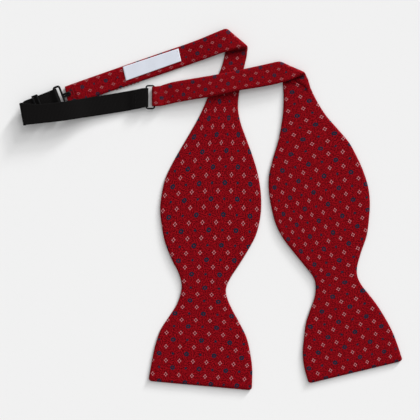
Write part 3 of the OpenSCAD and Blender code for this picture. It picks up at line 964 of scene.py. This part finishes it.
# Creases in the necks, and painted shadows under the folded bands' edges: a path in the plan, its width, its
# depth and how dark its painted shade is
LEFT_CREASES_AND_SHADE = [
    (((9, 107.9), (16, 109.2), (24.9, 110.7)), 1.0, 0.3, 1.0),
    # Depth 0: a soft painted shadow below the folded band's lower edge
    (((9, 106.6), (16, 107.6), (24, 109)), 2.2, 0, 0.45),
    (((23.6, 112), (23.9, 105.5)), 0.6, 0.05, 0.6),
    # Depth 0: painted shadow of the right band on the left neck
    (((-2, 75.6), (8, 78), (20.5, 80.4)), 2.2, 0, 0.4),
]
RIGHT_CREASES_AND_SHADE = [
    (((48.5, 85.9), (53, 88), (59, 90.4), (65.8, 92.4)), 0.8, 0.3, 1.0),
    # Pleat crease, with painted shadow below its lower edge
    (((55.6, 88.6), (58.5, 87.7), (61.4, 86.4), (64, 84.6), (67, 81.8)), 1.2, 0.7, 1.5),
]
left_band_pattern = band_pattern([(255.5, 0), (313.5, 7), (364.3, 13)], 7.5,
                                 [(255, 2.4), (313, 0.6), (339, -0.9), (364, -2.9)])
right_band_pattern = band_pattern([(228.4, 0), (277.7, 6), (309, 10)], 7.1,
                                  [(228, 1.8), (245, 0.8), (262, 0.8), (301, 2.9), (316, 1.2)])
make_half("left_half", left_rows, left_fold_at, left_face_pattern, left_band_pattern, LEFT_CREASES_AND_SHADE)
make_half("right_half", right_rows, right_fold_at, right_face_pattern, right_band_pattern, RIGHT_CREASES_AND_SHADE)
# The interlining stops short of the sewn end and of the band's far end
make_lining("left_interlining", inset_rows(left_rows[9:-12], EDGE_ROLL + 0.2), "left_half")
make_lining("right_interlining", inset_rows([r for r in right_rows[9:] if r[0] > -24], EDGE_ROLL + 0.2),
            "right_half")

webbing = make_tape("webbing", webbing_rows(), WEB_T / 2, 22, webbing_black)
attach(webbing, "webbing")
webbing_return = make_tape("webbing_return", webbing_return_rows(), WEB_T / 2, 22, webbing_black)
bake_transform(webbing_return)

LABEL_AT = (-41.4, 100.4)
LABEL_ANGLE = 18.9


def make_label():
    """Label lying on the band, a little wider at its left end, with both ends leaning."""
    along = direction(LABEL_ANGLE)
    side = np.array([-along[1], along[0]])
    rows = []
    for u in np.linspace(-LABEL_LEN / 2, LABEL_LEN / 2, 60):
        half = (LABEL_W - LABEL_TAPER * u / LABEL_LEN) / 2
        lean = LABEL_LEAN * along
        first = np.array(LABEL_AT) + u * along + half * side + lean
        second = np.array(LABEL_AT) + u * along - half * side - lean
        rows.append(np.array([*first, *second, HALF_T + SKIN_GAP + 0.2 + 0.03 * math.sin(u * 0.5), 1]))
    made = make_tape("woven_label", rows, LABEL_T / 2, 20, label_white)
    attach(made, "left_half")
    parts = []
    thread_d, thread_z, reach = 0.24, HALF_T + 0.2, 0.75
    for end in (-1, 1):
        for i in (-1, 0, 1):
            middle = np.array(LABEL_AT) + end * (LABEL_LEN / 2 - 0.8) * along + i * 2.8 * side
            parts.append(stitch((*(middle - side * reach), thread_z), (*(middle + side * reach), thread_z),
                                thread_d))
    made = make_object("label_stitches_thread", *merge(parts), red_thread)
    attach(made, "left_half")
    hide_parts("label_stitches")


make_label()


def seam_stitches(name, from_row, to_row, body):
    """Hand stitches just outside the seam, between the inner edge points of two rows."""
    p, q = np.array(from_row[2:4], float), np.array(to_row[2:4], float)
    along = (q - p) / np.linalg.norm(q - p)
    centre = (p + q) / 2 + np.array([along[1], -along[0]]) * (THREAD_D / 2 + SKIN_GAP)
    angle = math.degrees(math.atan2(along[1], along[0]))
    stitches(name, centre, angle, 7, 2.6, 1.6, from_row[4] - THREAD_D / 2, red_thread, body)


seam_stitches("left_closing_stitches", LEFT_BAND[5], LEFT_BAND[4], "left_half")
seam_stitches("right_closing_stitches", RIGHT_BAND[3], RIGHT_BAND[2], "right_half")
stitches("ring_loop_stitches", (-32.2, 78.95), 90, 5, 2.4, 1.7, 2.2 + HALF_H * BAND_K - 0.17,
         red_thread, "right_half")
stitches("webbing_ring_stitches", (-53, 75.9), 90, 5, 2.4, 1.7, 2.55 + WEB_T / 2 - 0.15,
         black_thread, "webbing")
stitches("hook_eye_stitches", rear_point(EYE_U + 3.2), REAR_ANGLE + 90, 5, 2.2, 1.6, HALF_T + SKIN_GAP,
         red_thread, "left_half")
stitches("slider_stitches", rear_point(-9.6), REAR_ANGLE + 90, 5, 2.2, 1.6, 1.85 + WEB_T / 2 + SKIN_GAP,
         black_thread, "slider")


def make_hook_eye():
    """Worked eye: threads over a slot's edge, side by side round a fine cord."""
    cord_r, thread_d, pitch, inner, outer = 0.12, 0.26, 0.32, 0.3, 0.45
    surface = HALF_T + SKIN_GAP
    along = direction(REAR_ANGLE)
    side = np.array([-along[1], along[0]])
    centre = rear_point(EYE_U)

    def plan(u, v):
        return (*(centre + u * along + v * side), surface + thread_d / 2)

    loop = rounded_loop(*EYE_LOOP, EYE_CORNER, plan)
    parts = [tube(loop, cord_r, 8, True)]
    for i, point in enumerate(loop):
        after = np.array(loop[(i + 1) % len(loop)])
        here = np.array(point)
        length = np.linalg.norm(after - here)
        if length > EYE_CORNER:
            steps = int(length / pitch)
            for step in range(steps):
                at = here + (after - here) * (step + 0.5) / steps
                out = at[:2] - centre
                u, v = out @ along, out @ side
                on_long_side = abs(u) * EYE_LOOP[1] > abs(v) * EYE_LOOP[0]
                way = along * math.copysign(1, u) if on_long_side else side * math.copysign(1, v)
                parts.append(stitch((*(at[:2] - way * inner), surface), (*(at[:2] + way * outer), surface),
                                    thread_d))
    made = make_object("hook_eye_thread", *merge(parts), red_thread)
    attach(made, "left_half")
    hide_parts("hook_eye")


make_hook_eye()


def make_ring():
    middle = ((BAND_BAR_X + WEB_BAR_X) / 2, RING_Y)

    def plan(u, v):
        return middle[0] + u, middle[1] + v, RING_Z

    loop = rounded_loop(BAND_BAR_X - WEB_BAR_X, RING_LEN - RING_WIRE, RING_CORNER, plan)
    made = make_object("ring_wire", *tube(loop, RING_WIRE / 2, 20, True), enamel)
    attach(made, "ring")
    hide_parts("ring")


make_ring()


def make_hook():
    """Wire frame with a narrow tongue whose tip dips."""
    frame_u, corner, tongue_half = 4.2, 1.2, 0.8

    def plan(u, v):
        return (*rear_point(u, v), HOOK_Z)

    loop = rounded_loop(frame_u, HOOK_LEN - HOOK_WIRE, corner, lambda u, v: plan(u + frame_u / 2, v))
    arm = TONGUE_LEN - tongue_half - HOOK_WIRE / 2
    dip = math.radians(10)
    path = [plan(frame_u + arm * t, -tongue_half) for t in np.linspace(0, 1, 10)]
    for degrees in np.linspace(-90, 90, 17)[1:-1]:
        a = math.radians(degrees)
        reach = tongue_half * math.cos(a)
        x, y, z = plan(frame_u + arm + reach * math.cos(dip), tongue_half * math.sin(a))
        path.append((x, y, z - reach * math.sin(dip)))
    path += [plan(frame_u + arm * t, tongue_half) for t in np.linspace(1, 0, 10)]
    parts = [tube(loop, HOOK_WIRE / 2, 20, True), tube(path, HOOK_WIRE / 2, 20)]
    made = make_object("hook_wire", *merge(parts), enamel)
    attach(made, "hook")
    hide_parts("hook")


make_hook()


def make_slider():
    """Frame of two rails and two bars over the strands, and a round bar between the rails."""
    rail_w, bar_w, bar_t = 0.9, 1, 0.65
    top = REAR_Z + WEB_T / 2 + 0.15
    low = BAR_Z - BAR_R
    rail_at = WEB_W / 2 + 0.2 + rail_w / 2
    parts = []
    for side in (-1, 1):
        centre = (*rear_point(SLIDER_U, side * rail_at), (low + top + bar_t) / 2)
        parts.append(box_part(centre, (SLIDER_LEN, rail_w, top + bar_t - low), REAR_ANGLE, 0.22))
        centre = (*rear_point(SLIDER_U + side * (SLIDER_LEN - bar_w) / 2), top + bar_t / 2)
        parts.append(box_part(centre, (bar_w, 2 * rail_at, bar_t), REAR_ANGLE, 0.2))
    ends = [rear_point(SLIDER_U, v) for v in np.linspace(-rail_at, rail_at, 24)]
    parts.append(tube([(*p, BAR_Z) for p in ends], BAR_R, 20))
    made = make_object("slider_frame", *merge(parts), enamel)
    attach(made, "slider")
    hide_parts("slider")


make_slider()
